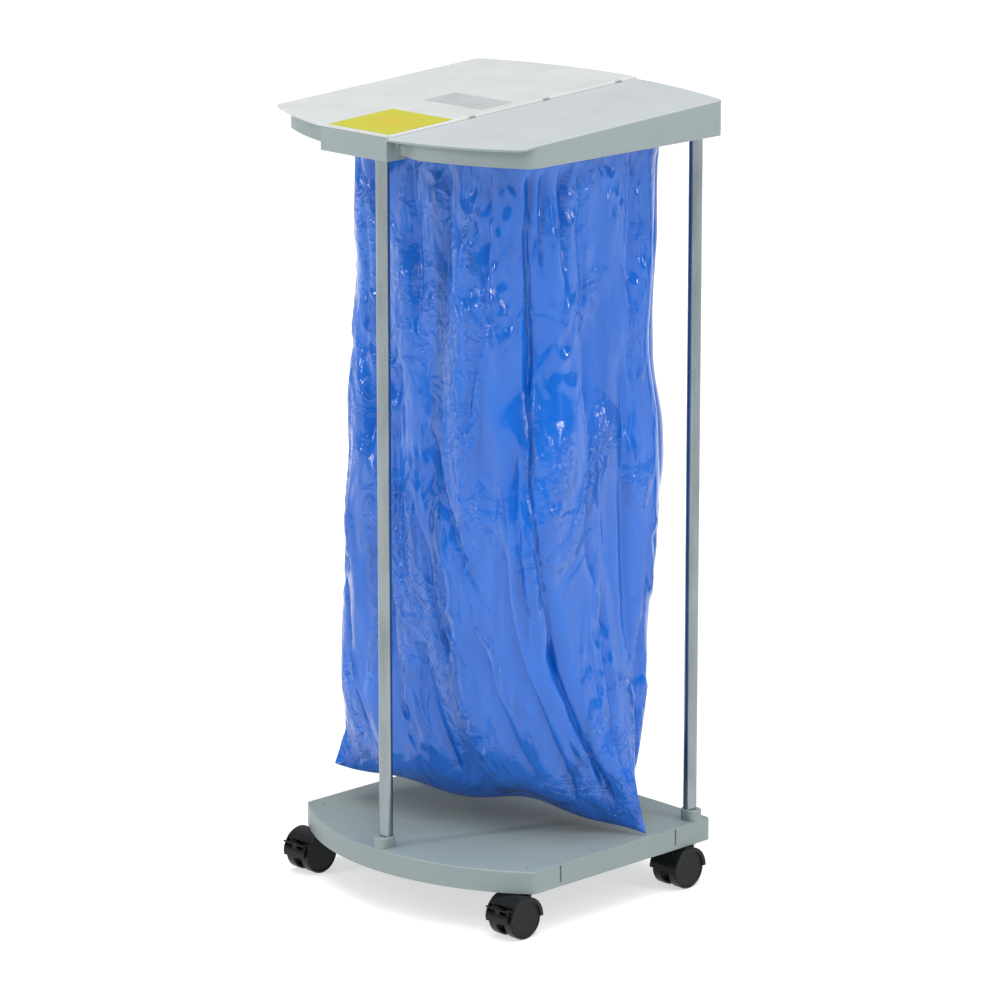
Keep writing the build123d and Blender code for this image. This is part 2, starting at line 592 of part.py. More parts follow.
def make_grip_rings():
    """Split rings that hold the four stems in their sockets."""
    groove_r, groove_low, groove_high = GROOVE
    with BuildPart() as rings:
        for x, y in STEMS.values():
            rod(x, y, PLUG_R, groove_low + 0.2, groove_high - 0.2)
            rod(x, y, groove_r + 0.1, groove_low, groove_high, Mode.SUBTRACT)
            block((x - 1, x + 1), (y, y + 10), (groove_low, groove_high), Mode.SUBTRACT)
    finish(rings, "castor_grip_rings")


def make_hood(name, x, y, braked):
    """Hood over the upper half of both wheels, with the web for the axle and the neck for the stem."""
    inner, outer = WHEEL_R + HOOD_GAP, WHEEL_R + HOOD_GAP + HOOD_T
    with BuildPart() as hood:
        with BuildSketch(castor_side(x, y, -HOOD_HALF_X - HOOD_LIP)) as shell:
            Circle(outer)
            with Locations((0, -outer)):
                Rectangle(3 * outer, 2 * outer, mode=Mode.SUBTRACT)
        extrude(shell.sketch, amount=2 * (HOOD_HALF_X + HOOD_LIP))
        # room for the wheels, and the open sides inside the lips
        for radius, half in ((inner, HOOD_HALF_X), (WHEEL_R - 2.5, HOOD_HALF_X + 2 * HOOD_LIP)):
            with BuildSketch(castor_side(x, y, -half)) as room:
                Circle(radius)
            extrude(room.sketch, amount=2 * half, mode=Mode.SUBTRACT)
        rims = hood.edges().filter_by(GeomType.CIRCLE).filter_by(lambda e: abs(e.radius - outer) < 0.01)
        fillet(rims, 0.8)
        # web between the wheels, ahead of the axle
        with BuildSketch(castor_side(x, y, -WEB_HALF)) as web:
            Circle(7.0)
            with Locations((11, 11)):
                Rectangle(32, 26)
            Circle(inner + HOOD_T / 2, mode=Mode.INTERSECT)
        extrude(web.sketch, amount=2 * WEB_HALF)
        # neck for the stem
        rod(x, y, NECK_R, WHEEL_R + 4, NECK_TOP)
        rod(x, y, 9.0, NECK_TOP - 2.0, NECK_TOP)
        rod(x, y, STEM_R + RUN, 30.0, NECK_TOP + 1, Mode.SUBTRACT)
        if braked:
            pivot_y, pivot_z = LEVER_PIVOT
            for low in (LEVER_HALF + EAR_GAP, -LEVER_HALF - EAR_GAP - EAR_T):
                with BuildSketch(castor_side(x, y, low)) as ear:
                    with Locations(LEVER_PIVOT):
                        Circle(3.4)
                    with Locations(Location((1.25 * pivot_y, 1.25 * pivot_z), -40.6)):
                        Rectangle(10, 6.8)
                    Circle(inner + HOOD_T / 2, mode=Mode.INTERSECT)
                extrude(ear.sketch, amount=EAR_T)
            with BuildSketch(castor_side(x, y, -10)) as pin_hole:
                with Locations(LEVER_PIVOT):
                    Circle(LEVER_PIN_R + RUN)
            extrude(pin_hole.sketch, amount=20, mode=Mode.SUBTRACT)
            # room for the lever's arm and, wider, for its pedal
            with Locations((x, y - TRAIL - 25, WHEEL_R + 9)):
                Box(2 * LEVER_HALF + 1.4, 12, 15, mode=Mode.SUBTRACT)
            with Locations((x, y - TRAIL - 27, WHEEL_R + 8)):
                Box(2 * PEDAL_HALF + 2, 14, 18, mode=Mode.SUBTRACT)
        with BuildSketch(castor_side(x, y, -WEB_HALF - 1)) as axle_hole:
            Circle(AXLE_R + 0.01)
        extrude(axle_hole.sketch, amount=2 * WEB_HALF + 2, mode=Mode.SUBTRACT)
    finish(hood, f"castor_hood_{name}")


def make_axle(name, x, y):
    """Axle pressed into the hood's web."""
    with BuildPart() as axle:
        with BuildSketch(castor_side(x, y, -AXLE_HALF)):
            Circle(AXLE_R)
        extrude(amount=2 * AXLE_HALF)
        chamfer(axle.edges(), 0.4)
    finish(axle, f"castor_axle_{name}")


def make_wheel(name, x, y, side):
    """One wheel: rounded tread, recessed outer disc and a blind hub that turns on the axle."""
    tread_in, face = WHEEL_X
    disc_in, disc_out, rim_in = face - 3.5, face - 0.8, WHEEL_R - 2.8
    profile = (
        (HUB_IN, AXLE_R + RUN), (AXLE_HALF + 0.5, AXLE_R + RUN), (AXLE_HALF + 0.5, 0), (disc_out, 0),
        (disc_out, WHEEL_R - 3.6), (face, WHEEL_R - 3.0), (face, WHEEL_R - 1.5), (face - 1.5, WHEEL_R),
        (tread_in + 1.2, WHEEL_R), (tread_in, WHEEL_R - 1.0), (tread_in, rim_in), (disc_in, rim_in),
        (disc_in, AXLE_R + 3.2), (HUB_IN, AXLE_R + 3.2),
    )
    centre = (x, y - TRAIL, WHEEL_R)
    with BuildPart() as wheel:
        with BuildSketch(Plane(origin=centre, x_dir=(1, 0, 0), z_dir=(0, -1, 0))):
            with BuildLine():
                Polyline([(side * across, radius) for across, radius in profile], close=True)
            make_face()
        revolve(axis=Axis(centre, (1, 0, 0)))
    finish(wheel, f"castor_wheel_{name}_{'right' if side > 0 else 'left'}")


def at_radius(radius, angle):
    """Point at a radius and an angle round the axle, in the castor's side view."""
    return (radius * cos(radians(angle)), -radius * sin(radians(angle)))


def pedal_section(x, y):
    """Curved strip outside the wheels, in the castor's side view."""
    inner, outer = PEDAL_R
    with BuildSketch(castor_side(x, y, -PEDAL_HALF)) as section:
        with BuildLine():
            first, last = (at_radius(outer, angle) for angle in PEDAL_ARC)
            back, start = (at_radius(inner, angle) for angle in PEDAL_ARC[::-1])
            middle = sum(PEDAL_ARC) / 2
            ThreePointArc(first, at_radius(outer, middle), last)
            Line(last, back)
            ThreePointArc(back, at_radius(inner, middle), start)
            Line(start, first)
        make_face()
    return section.sketch


def make_brake_lever(name, x, y):
    """Brake lever: curved pedal with a tab over it, arm, trunnions and the bar that grips both rims."""
    low, high = (at_radius(sum(PEDAL_R) / 2, angle) for angle in PEDAL_ARC)
    with BuildPart() as lever:
        # arm between the wheels, from the pivot to the pedal, the tab and the bar
        for ends in ((low, TAB_AT), (BRAKE_BAR,)):
            with BuildSketch(castor_side(x, y, -LEVER_HALF)):
                with Locations(LEVER_PIVOT):
                    Circle(2.4)
                with Locations(*ends):
                    Circle(ARM_END_R)
                make_hull()
            extrude(amount=2 * LEVER_HALF)
        with BuildSketch(castor_side(x, y, -LEVER_HALF - EAR_GAP - EAR_T)):
            with Locations(LEVER_PIVOT):
                Circle(LEVER_PIN_R)
        extrude(amount=2 * (LEVER_HALF + EAR_GAP + EAR_T))
        # bar, pedal and tab across the castor
        with BuildSketch(castor_side(x, y, -BAR_HALF)):
            with Locations(BRAKE_BAR):
                Circle(1.5)
        extrude(amount=2 * BAR_HALF)
        extrude(pedal_section(x, y), amount=2 * PEDAL_HALF)
        with BuildSketch(castor_side(x, y, -PEDAL_HALF)):
            with Locations(Location(TAB_AT, TAB[2])):
                SlotOverall(TAB[0], TAB[1])
        extrude(amount=2 * PEDAL_HALF)
        # ends that join the pedal and the tab
        for start in (-PEDAL_HALF, PEDAL_HALF - PEDAL_SIDE_T):
            with BuildSketch(castor_side(x, y, start)):
                with Locations(high, TAB_AT):
                    Circle(ARM_END_R)
                make_hull()
            extrude(amount=PEDAL_SIDE_T)
    finish(lever, f"brake_lever_{name}")


def make_castors():
    """Four castors; the front two have brakes."""
    make_grip_rings()
    for name, (x, y) in STEMS.items():
        make_stem(name, x, y)
        make_hood(name, x, y, name.startswith("front"))
        make_axle(name, x, y)
        for side in (-1, 1):
            make_wheel(name, x, y, side)
        if name.startswith("front"):
            make_brake_lever(name, x, y)


make_base_tray()
make_tube("tube_front", *FRONT_TUBE, FRONT_TUBE_FOOT, FRONT_TUBE_HEAD)
make_tube("tube_rear_left", *TUBE_XY[1], REAR_TUBE_FOOT, REAR_TUBE_HEAD)
make_tube("tube_rear_right", *TUBE_XY[2], REAR_TUBE_FOOT, REAR_TUBE_HEAD)
make_tube_inserts()
make_tube_screws()
make_top_frame()
make_bag_collar()
make_refuse_bag()
make_lid()
make_castors()
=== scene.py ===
import json
from math import cos, pi, radians, sin
from random import Random

import bmesh
import bpy
import numpy as np
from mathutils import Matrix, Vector, noise


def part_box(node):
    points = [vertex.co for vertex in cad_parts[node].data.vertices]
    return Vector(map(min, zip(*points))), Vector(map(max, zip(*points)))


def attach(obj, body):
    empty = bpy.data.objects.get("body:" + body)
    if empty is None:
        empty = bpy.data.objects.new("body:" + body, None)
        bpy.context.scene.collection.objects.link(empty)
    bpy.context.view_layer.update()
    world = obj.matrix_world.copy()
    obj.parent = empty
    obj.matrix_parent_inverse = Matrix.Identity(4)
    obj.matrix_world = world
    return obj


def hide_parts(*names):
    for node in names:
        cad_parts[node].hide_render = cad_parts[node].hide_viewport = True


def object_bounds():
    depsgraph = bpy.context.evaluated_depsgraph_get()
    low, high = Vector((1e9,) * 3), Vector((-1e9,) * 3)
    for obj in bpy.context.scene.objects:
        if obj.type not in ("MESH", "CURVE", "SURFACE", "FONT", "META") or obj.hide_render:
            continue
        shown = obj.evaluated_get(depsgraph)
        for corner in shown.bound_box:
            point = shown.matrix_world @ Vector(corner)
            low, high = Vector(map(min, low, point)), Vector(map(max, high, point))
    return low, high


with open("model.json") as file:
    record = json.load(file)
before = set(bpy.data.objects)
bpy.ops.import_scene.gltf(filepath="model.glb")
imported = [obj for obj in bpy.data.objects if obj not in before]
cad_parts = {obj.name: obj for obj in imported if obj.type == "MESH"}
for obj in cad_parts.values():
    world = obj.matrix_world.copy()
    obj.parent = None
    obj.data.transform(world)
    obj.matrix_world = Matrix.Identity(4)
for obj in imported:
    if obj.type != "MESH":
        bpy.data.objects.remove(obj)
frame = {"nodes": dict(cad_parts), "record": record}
cad_low, cad_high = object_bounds()
nodes = frame["nodes"]


# ---- camera, light and floor ----
# angles in degrees: azimuth 0 is in front of the object (-Y) and 90 on its right (+X)
CAMERA_AZIMUTH = 45.26
CAMERA_ELEVATION = 14.12
CAMERA_DISTANCE = 6.049
LENS = 185.8
SENSOR = 36.0
AIM_OFFSET = Vector((0.0053, 0.0050, -0.0096))     # from the middle of the CAD box
# name, azimuth, elevation, distance, (width, height), power
LIGHT_BOXES = (
    ("left_box", -20, 26, 2.6, (0.08, 1.5), 22),
    ("right_box", 108, 24, 2.6, (0.07, 1.5), 19),
    ("front_strip", 50, 36, 3.0, (0.06, 0.8), 9),
)
SUN_ELEVATION = 80
SUN_AZIMUTH = 45
SUN_STRENGTH = 2.7
SUN_SPREAD = 50
DOME = 0.66                        # strength of the studio dome
DOME_STEPS = ((0.0, 0.22), (0.25, 0.45), (0.6, 0.92), (1.0, 1.0))      # height and level
FLOOR_REACH = 12.0
FLOOR_LEVEL = 0.45                 # how much light the floor gives back
FLOOR_GLOW = 0.58                  # light of its own, which keeps the shadows pale


def towards(azimuth, elevation):
    """Unit vector from the object towards a place seen at these angles."""
    turn, rise = radians(azimuth), radians(elevation)
    return Vector((sin(turn) * cos(rise), -cos(turn) * cos(rise), sin(rise)))


def add_facing(thing, back):
    """Puts a camera or lamp into the scene, looking against the vector back."""
    thing.rotation_euler = (-back).to_track_quat("-Z", "Y").to_euler()
    bpy.context.scene.collection.objects.link(thing)


def make_camera():
    """Long-lens camera that looks down on the front right corner."""
    back = towards(CAMERA_AZIMUTH, CAMERA_ELEVATION)
    aim = (cad_low + cad_high) / 2 + AIM_OFFSET
    camera = bpy.data.objects.new("camera", bpy.data.cameras.new("camera"))
    camera.data.lens = LENS
    camera.data.sensor_width = SENSOR
    camera.data.clip_end = 50.0
    camera.location = aim + back * CAMERA_DISTANCE
    add_facing(camera, back)
    bpy.context.scene.camera = camera


def make_light(name, azimuth, elevation, distance, size, power):
    """Rectangular soft light that faces the object's middle."""
    back = towards(azimuth, elevation)
    light = bpy.data.lights.new(name, "AREA")
    light.shape = "RECTANGLE"
    light.size, light.size_y = size
    light.energy = power
    lamp = bpy.data.objects.new(name, light)
    lamp.location = (cad_low + cad_high) / 2 + back * distance
    add_facing(lamp, back)


def make_sun():
    """Broad overhead light that whitens the whole floor evenly."""
    light = bpy.data.lights.new("overhead", "SUN")
    light.energy = SUN_STRENGTH
    light.angle = radians(SUN_SPREAD)
    lamp = bpy.data.objects.new("overhead", light)
    add_facing(lamp, towards(SUN_AZIMUTH, SUN_ELEVATION))


def make_world():
    """Studio dome: bright overhead and darker towards the horizon, so sides are darker than tops."""
    world = bpy.data.worlds.new("studio")
    bpy.context.scene.world = world
    world.use_nodes = True
    tree = world.node_tree
    place = tree.nodes.new("ShaderNodeTexCoord")
    split = tree.nodes.new("ShaderNodeSeparateXYZ")
    ramp = tree.nodes.new("ShaderNodeValToRGB")
    while len(ramp.color_ramp.elements) < len(DOME_STEPS):
        ramp.color_ramp.elements.new(0.5)
    for element, (position, level) in zip(ramp.color_ramp.elements, DOME_STEPS):
        element.position = position
        element.color = (level, level, level, 1)
    tree.nodes["Background"].inputs["Strength"].default_value = DOME
    tree.links.new(place.outputs["Generated"], split.inputs[0])
    tree.links.new(split.outputs["Z"], ramp.inputs["Fac"])
    tree.links.new(ramp.outputs["Color"], tree.nodes["Background"].inputs["Color"])


def make_floor():
    """Plain pale floor under the castors."""
    mesh = bpy.data.meshes.new("floor")
    reach = FLOOR_REACH
    corners = [(-reach, -reach, 0), (reach, -reach, 0), (reach, reach, 0), (-reach, reach, 0)]
    mesh.from_pydata(corners, [], [(0, 1, 2, 3)])
    floor = bpy.data.objects.new("floor", mesh)
    bpy.context.scene.collection.objects.link(floor)
    mat = bpy.data.materials.new("floor_paint")
    mat.use_nodes = True
    paint = mat.node_tree.nodes["Principled BSDF"]
    paint.inputs["Base Color"].default_value = (FLOOR_LEVEL, FLOOR_LEVEL, FLOOR_LEVEL, 1)
    paint.inputs["Roughness"].default_value = 0.8
    paint.inputs["Emission Color"].default_value = (1, 1, 1, 1)
    paint.inputs["Emission Strength"].default_value = FLOOR_GLOW
    mesh.materials.append(mat)


# ---- procedural materials ----
# colours are linear; lengths are in metres
GREY = (0.240, 0.290, 0.292)       # sides of the top
GREY_SHADED = (0.212, 0.258, 0.260)   # base and small grey parts: the same grey plastic painted darker, as painted shade
GREY_LIT_TOP = (0.395, 0.425, 0.445)   # upward faces of the deck: a painted highlight, lighter as if lit from above
LIGHT = (0.490, 0.515, 0.510)      # flap
YELLOW = (0.43, 0.42, 0.020)
ORANGE = (0.46, 0.385, 0.012)
WARM_FROM, WARM_TO = 0.004, 0.046  # radius where orange starts to turn, and where it is all yellow
INSERT = (0.08, 0.085, 0.09)
CHROME = ((0.265, 0.305, 0.315), (0.205, 0.240, 0.250))    # clean, hazed
ZINC = ((0.50, 0.51, 0.53), (0.68, 0.68, 0.66))
RUBBER = ((0.035, 0.036, 0.04), (0.06, 0.062, 0.066))
LABEL_PAPER = (0.38, 0.40, 0.41)
LABEL_INK = (0.27, 0.29, 0.31)
LABEL_PITCH = 0.0034               # between the label's dots
FILM_DEEP = (0.001, 0.088, 0.44)
FILM_PALE = (0.003, 0.140, 0.63)
BLACK = (0.004, 0.005, 0.006)
DUST = (0.010, 0.011, 0.012)
BEVEL_SAMPLES = 6
MIX_INPUTS = (6, 7)                # the Mix node's two colour sockets


class Paint:
    """A Principled material whose nodes are built by small steps, in object space."""

    def __init__(self, name, **sockets):
        self.mat = bpy.data.materials.new(name)
        self.mat.use_nodes = True
        self.tree = self.mat.node_tree
        self.shader = self.tree.nodes["Principled BSDF"]
        for socket, value in sockets.items():
            self.shader.inputs[socket.replace("_", " ")].default_value = value
        self.place = self.tree.nodes.new("ShaderNodeTexCoord").outputs["Object"]

    def join(self, source, node, socket):
        self.tree.links.new(source, node.inputs[socket])

    def stretched(self, scale):
        """Object coordinates multiplied by scale = (x, y, z)."""
        node = self.tree.nodes.new("ShaderNodeMapping")
        node.inputs["Scale"].default_value = scale
        self.join(self.place, node, "Vector")
        return node.outputs["Vector"]

    def noise(self, scale, detail=2.0, stretch=(1, 1, 1), distortion=0.0, rough=0.5):
        node = self.tree.nodes.new("ShaderNodeTexNoise")
        node.inputs["Scale"].default_value = scale
        node.inputs["Detail"].default_value = detail
        node.inputs["Roughness"].default_value = rough
        node.inputs["Distortion"].default_value = distortion
        self.join(self.stretched(stretch), node, "Vector")
        return node.outputs["Fac"]

    def levels(self, value, low, high, to_low=0.0, to_high=1.0):
        """Maps low..high to to_low..to_high and clamps it."""
        node = self.tree.nodes.new("ShaderNodeMapRange")
        ends = {"From Min": low, "From Max": high, "To Min": to_low, "To Max": to_high}
        for socket, number in ends.items():
            node.inputs[socket].default_value = number
        self.join(value, node, "Value")
        return node.outputs["Result"]

    def sums(self, operation, a, b):
        """A Math node's result; a and b are numbers or outputs of other nodes."""
        node = self.tree.nodes.new("ShaderNodeMath")
        node.operation = operation
        for socket, value in enumerate((a, b)):
            if isinstance(value, (int, float)):
                node.inputs[socket].default_value = value
            else:
                self.join(value, node, socket)
        return node.outputs[0]

    def between(self, amount, first, second):
        """Colour that goes from first to second as amount goes from 0 to 1."""
        node = self.tree.nodes.new("ShaderNodeMix")
        node.data_type = "RGBA"
        self.join(amount, node, 0)
        for socket, colour in zip(MIX_INPUTS, (first, second)):
            if isinstance(colour, tuple):
                node.inputs[socket].default_value = (*colour, 1)
            else:
                self.join(colour, node, socket)
        return node.outputs[2]

    def colour(self, source):
        self.join(source, self.shader, "Base Color")

    def roughness(self, source):
        self.join(source, self.shader, "Roughness")

    def relief(self, *heights, edge=0.0):
        """Bumps the surface by (height, depth) pairs; edge is the radius that softens corners."""
        normal = None
        if edge:
            bevel = self.tree.nodes.new("ShaderNodeBevel")
            bevel.samples = BEVEL_SAMPLES
            bevel.inputs["Radius"].default_value = edge
            normal = bevel.outputs["Normal"]
        for height, depth in heights:
            node = self.tree.nodes.new("ShaderNodeBump")
            node.inputs["Distance"].default_value = depth
            self.join(height, node, "Height")
            if normal:
                self.join(normal, node, "Normal")
            normal = node.outputs["Normal"]
        self.join(normal, self.shader, "Normal")


def lighter(colour, factor):
    return tuple(min(1.0, channel * factor) for channel in colour)


def moulded_plastic(name, colour, rough, grain=2600.0, depth=0.00006, painted_top_light=None):
    """Injection-moulded plastic with a fine spark-eroded grain and faint cloudy variation.

    The top colour is a painted highlight: faces that look up are painted lighter, as if lit from
    above."""
    paint = Paint(name, Specular_IOR_Level=0.45)
    cloud = paint.levels(paint.noise(7.0, 4.0), 0.35, 0.65)
    tone = paint.between(cloud, lighter(colour, 0.965), lighter(colour, 1.03))
    # painted highlight: faces that look up get a lighter colour that stands in for the light from
    # above
    if painted_top_light:
        up = paint.tree.nodes.new("ShaderNodeSeparateXYZ")
        paint.join(paint.tree.nodes.new("ShaderNodeNewGeometry").outputs["Normal"], up, 0)
        painted_top_tone = paint.between(cloud, lighter(painted_top_light, 0.98), lighter(painted_top_light, 1.02))
        tone = paint.between(paint.levels(up.outputs["Z"], 0.4, 0.95), tone, painted_top_tone)
    paint.colour(tone)
    smear = paint.noise(28.0, 3.0, distortion=0.6)
    paint.roughness(paint.levels(smear, 0.3, 0.7, rough - 0.05, rough + 0.06))
    fine = paint.noise(grain, 2.0)
    slow = paint.noise(16.0, 1.0)
    paint.relief((slow, 0.0004), (fine, depth), edge=0.0005)
    return paint.mat


def chrome_tube(name):
    """Chromed steel tube: faint drawing lines along it and light handling haze."""
    paint = Paint(name, Metallic=1.0)
    haze = paint.noise(40.0, 4.0, stretch=(1, 1, 0.25))
    paint.colour(paint.between(paint.levels(haze, 0.4, 0.7), *CHROME))
    paint.roughness(paint.levels(haze, 0.35, 0.75, 0.22, 0.30))
    lines = paint.noise(900.0, 2.0, stretch=(1, 1, 0.01))
    paint.relief((lines, 0.00002))
    return paint.mat


def zinc_steel(name):
    """Zinc-plated turned steel with fine machining marks."""
    paint = Paint(name, Metallic=1.0)
    cloud = paint.noise(150.0, 4.0)
    paint.colour(paint.between(cloud, *ZINC))
    paint.roughness(paint.levels(cloud, 0.3, 0.7, 0.24, 0.38))
    marks = paint.noise(2400.0, 1.0, stretch=(0.2, 1, 1))
    paint.relief((marks, 0.00003), edge=0.0002)
    return paint.mat


def elastic_band(name):
    """Matt rubber with fine ribs round it."""
    paint = Paint(name)
    cloud = paint.noise(90.0, 3.0)
    paint.colour(paint.between(cloud, *RUBBER))
    paint.roughness(paint.levels(cloud, 0.3, 0.7, 0.6, 0.75))
    ribs = paint.noise(1500.0, 1.0, stretch=(0.05, 0.05, 1))
    paint.relief((ribs, 0.0002))
    return paint.mat


def warm_centre(name, node, centre_colour, edge_colour):
    """Moulded inlay whose colour turns from warm in the middle to a clear yellow at the edges."""
    paint = Paint(name, Specular_IOR_Level=0.45)
    low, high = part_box(node)
    away = paint.tree.nodes.new("ShaderNodeVectorMath")
    away.operation = "DISTANCE"
    paint.join(paint.place, away, 0)
    away.inputs[1].default_value = (low + high) / 2
    spread = paint.levels(away.outputs["Value"], WARM_FROM, WARM_TO)
    cloud = paint.levels(paint.noise(40.0, 3.0), 0.3, 0.7, -0.08, 0.08)
    paint.colour(paint.between(paint.sums("ADD", spread, cloud), centre_colour, edge_colour))
    paint.roughness(paint.levels(paint.noise(60.0, 3.0), 0.3, 0.7, 0.34, 0.44))
    paint.relief((paint.noise(2400.0, 2.0), 0.00005), edge=0.0004)
    return paint.mat


def label_print(name):
    """Pale grey label with soft rows of small dots, as a printed pattern without letters."""
    paint = Paint(name, Specular_IOR_Level=0.4)
    wave = []
    for axis in "XY":
        split = paint.tree.nodes.new("ShaderNodeSeparateXYZ")
        paint.join(paint.place, split, 0)
        ripple = paint.sums("SINE", paint.sums("MULTIPLY", split.outputs[axis], pi / LABEL_PITCH), 0)
        wave.append(paint.sums("ABSOLUTE", ripple, 0))
    dots = paint.levels(paint.sums("MULTIPLY", *wave), 0.45, 0.75)
    patches = paint.levels(paint.noise(26.0, 2.0, distortion=0.4), 0.46, 0.60)
    ink = paint.sums("MULTIPLY", dots, paint.levels(patches, 0.0, 1.0, 0.25, 1.0))
    paint.colour(paint.between(ink, LABEL_PAPER, LABEL_INK))
    paint.roughness(paint.levels(ink, 0, 1, 0.42, 0.30))
    paint.relief((ink, 0.00008), (paint.noise(2200.0), 0.00004), edge=0.0003)
    return paint.mat


def bag_film(name):
    """Blue polyethylene film: glossy, with patches of sharp crinkles and a slightly uneven tint."""
    paint = Paint(name, Specular_IOR_Level=0.45, Coat_Weight=0.35, Coat_Roughness=0.03)
    cloud = paint.noise(5.0, 4.0, stretch=(1, 1, 0.5), distortion=0.5)
    streak = paint.noise(34.0, 4.0, stretch=(1, 1, 0.16), distortion=0.9)
    tint = paint.sums("ADD", paint.levels(cloud, 0.3, 0.7, 0, 0.6),
                      paint.levels(streak, 0.35, 0.7, 0, 0.4))
    paint.colour(paint.between(tint, FILM_DEEP, FILM_PALE))
    paint.roughness(paint.levels(streak, 0.3, 0.7, 0.10, 0.20))
    where = paint.noise(10.0, 2.0, stretch=(1, 1, 0.5), distortion=0.8)
    patch = paint.levels(where, 0.44, 0.64)
    grains = paint.noise(34.0, 3.0, distortion=0.5), paint.noise(85.0, 2.0, distortion=0.3)
    crease, facet = (
        paint.sums("SUBTRACT", 0.5, paint.sums("ABSOLUTE", paint.sums("SUBTRACT", grain, 0.5), 0))
        for grain in grains)
    fine = paint.noise(26.0, 3.0, stretch=(1, 1, 0.25), distortion=0.9)
    paint.relief((fine, 0.0045), (paint.sums("MULTIPLY", crease, patch), 0.0160),
                 (paint.sums("MULTIPLY", facet, patch), 0.0025))
    return paint.mat


def black_moulding(name, rough):
    """Black nylon of the castors, with dust on it."""
    paint = Paint(name, Specular_IOR_Level=0.20)
    dust = paint.noise(130.0, 5.0, rough=0.65)
    paint.colour(paint.between(paint.levels(dust, 0.5, 0.8), BLACK, DUST))
    paint.roughness(paint.levels(dust, 0.3, 0.7, rough - 0.05, rough + 0.1))
    paint.relief((paint.noise(1800.0, 2.0), 0.00005), edge=0.0005)
    return paint.mat


def give(mat, *names):
    """Gives CAD nodes a material in place of their plain one."""
    for name in names:
        mesh = nodes[name].data
        mesh.materials.clear()
        mesh.materials.append(mat)


def paint_nodes():
    """Gives every CAD node the detailed material of its slot; the deck has one of its own."""
    by_slot = {}
    for entry in frame["record"]["subparts"]:
        by_slot.setdefault(entry["material_slot"], []).append(entry["node"])
    # the base and small grey parts use a darker copy of the grey, which is painted shade
    give(moulded_plastic("grey_moulding", GREY_SHADED, 0.42), *by_slot["grey_plastic"])
    # the deck's upward faces carry a painted highlight
    give(moulded_plastic("deck_moulding", GREY, 0.42, painted_top_light=GREY_LIT_TOP), "top_frame")
    give(moulded_plastic("lid_moulding", LIGHT, 0.36), *by_slot["light_plastic"])
    inlay = warm_centre("yellow_inlay", "colour_plate", ORANGE, YELLOW)
    give(inlay, *by_slot["yellow_plate"])
    give(moulded_plastic("insert_moulding", INSERT, 0.5), *by_slot["insert_plastic"])
    give(chrome_tube("chromed_tube"), *by_slot["chrome"])
    give(zinc_steel("zinc_plate"), *by_slot["steel"])
    give(elastic_band("elastic"), *by_slot["rubber"])
    give(label_print("label_print"), *by_slot["label"])
    give(black_moulding("black_nylon", 0.20), *by_slot["black_plastic"])
    give(black_moulding("wheel_nylon", 0.28), *by_slot["wheel_plastic"])


# ---- the bag ----
ROUND = 400                        # points round the film
# the rest of the bag is laid out in millimetres
TOP = 906.0
COLLAR_FOOT = 886.0                # the film lies tight on the collar down to here
SEAM = 103.0
# first and last height of the film's rings, and how many
RING_ROWS = ((TOP, 160.0, 166), (158.0, 109.0, 26), (108.0, SEAM, 8))
GIRTH = 1050.0                     # round the bag, along which the creases' widths are measured
BILLOW = 15.0                      # height of the slow swellings
CREASE_GAIN = 2.1
CREASE_EDGE = 3.6                  # width of a crease's sharp part
CRINKLE = 3.0                      # height of the patches of small crinkles, and of the ripples
COLLAR_GATHER = 0.8                # most that the film stands off the collar
ARCH, ARCH_AT, ARCH_SPREAD = 15.0, 0.38, 0.28      # the seam's arch; place as a share of its half
SEAM_RIPPLE, RIPPLE_RATE = 3.0, 9.0
SEED_STEP = 17.3                   # between the layers of noise
MM = 1000.0
WELD = 0.0011                      # joins the two sides of the seam, in metres
FILM_THICKNESS = 0.0003
# height, centre, half sizes, corner radius, turn in plan, lean and pinch of the ends
BAG_SECTIONS = (
    (TOP, (0, 20), (151.2, 134.2), 59.0, 0, 0, 0),
    (884.0, (0, 20), (151.4, 134.4), 59.5, 0, 0, 0),
    (640.0, (2, 19), (153, 130), 62, 0, 0, 0),
    (560.0, (2, 18), (159, 131), 50, 1, 0.3, 0),
    (460.0, (-1, 13), (164, 128), 46, 2, 0.6, 0),
    (342.0, (-2, 7), (165, 115), 46, 5.5, 2, 0.05),
    (230.0, (-2, -2), (175, 96), 46, 12, 4, 0.2),
    (150.0, (4, -11), (187, 62), 44, 20, 6, 0.6),
    (115.0, (7, -15), (194, 30), 26, 24, 6.7, 0.8),
    (SEAM, (9, -17), (197, 0.3), 0.2, 24.7, 6.8, 0.9),
)
